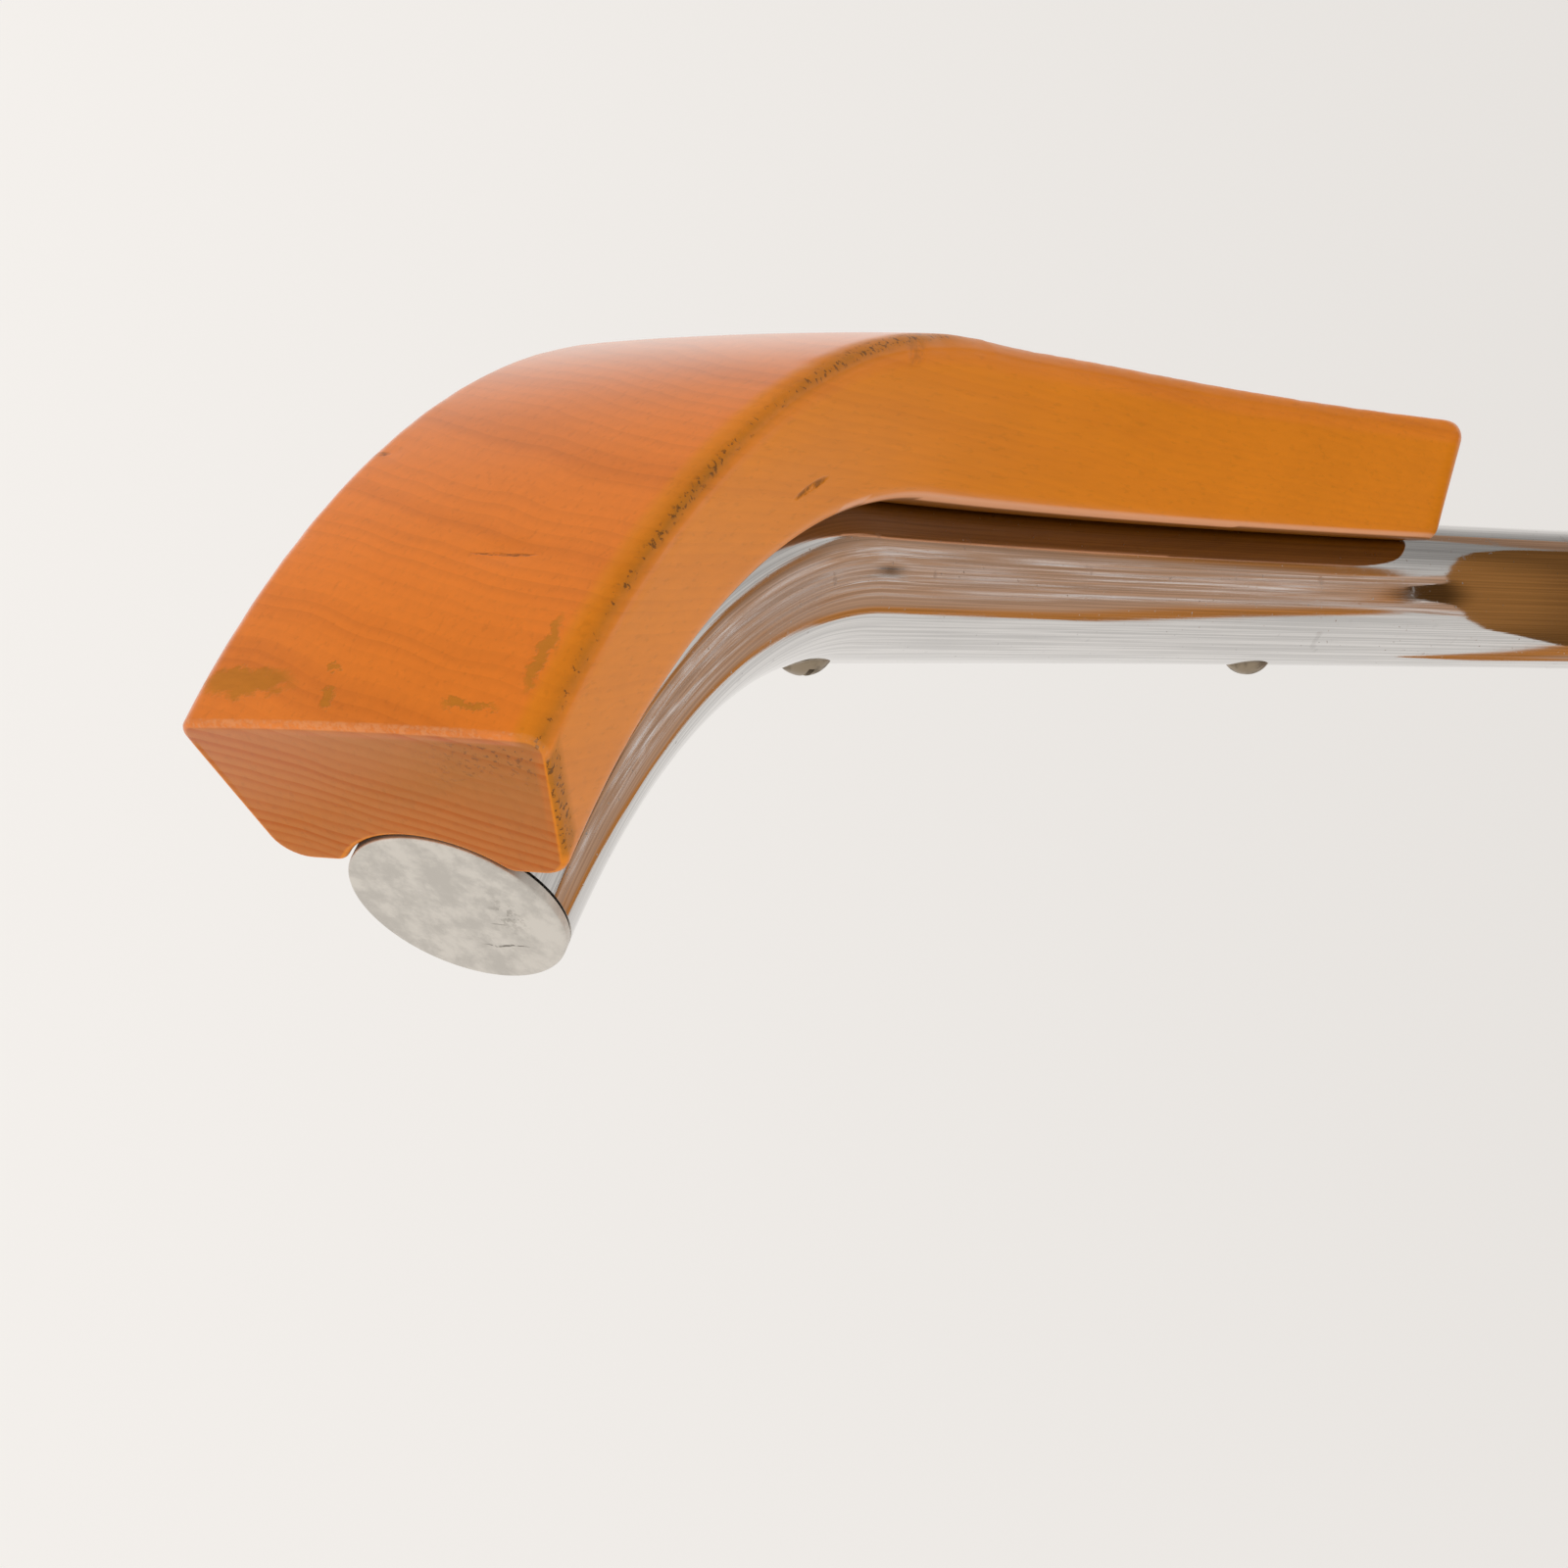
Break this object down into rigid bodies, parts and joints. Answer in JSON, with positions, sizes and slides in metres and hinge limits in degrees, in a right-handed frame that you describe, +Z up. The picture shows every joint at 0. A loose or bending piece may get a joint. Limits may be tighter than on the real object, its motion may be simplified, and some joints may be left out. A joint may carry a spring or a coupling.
{
  "type": "chair armrest",
  "caption": "Fixed chair armrest: a shaped wooden pad on a bent chromed tube that droops at the front and bolts on through a round rear flange.",
  "frame": {"origin": "middle of the gasket's face that sits against the chair, which is the centre of the bolt circle", "axes": "+X from the drooping front end towards the back of the chair, +Y away from the chair, +Z up; the face looks along -Y"},
  "size_m": [0.3544, 0.1655, 0.0797],
  "materials": {
    "lacquered_wood": "worn clear lacquer, satin to gloss",
    "insert_brass": "turned",
    "screw_steel": "dulled nickel plate",
    "plain_steel": "drawn, unplated",
    "chrome_plate": "bright, slightly worn",
    "plug_nylon": "moulded",
    "satin_plate": "satin plate with small pits",
    "black_rubber": "matt"
  },
  "bodies": {
    "root": {"arm_pad": "lacquered_wood", "pad_inserts": "insert_brass", "pad_screws": "screw_steel", "crush_sleeves": "plain_steel", "arm_tube": "chrome_plate", "end_plug": "plug_nylon", "end_disc": "satin_plate", "rear_flange": "chrome_plate", "hub_ring": "black_rubber", "hub_screws": "screw_steel", "flange_gasket": "black_rubber"}
  },
  "joints": []
}
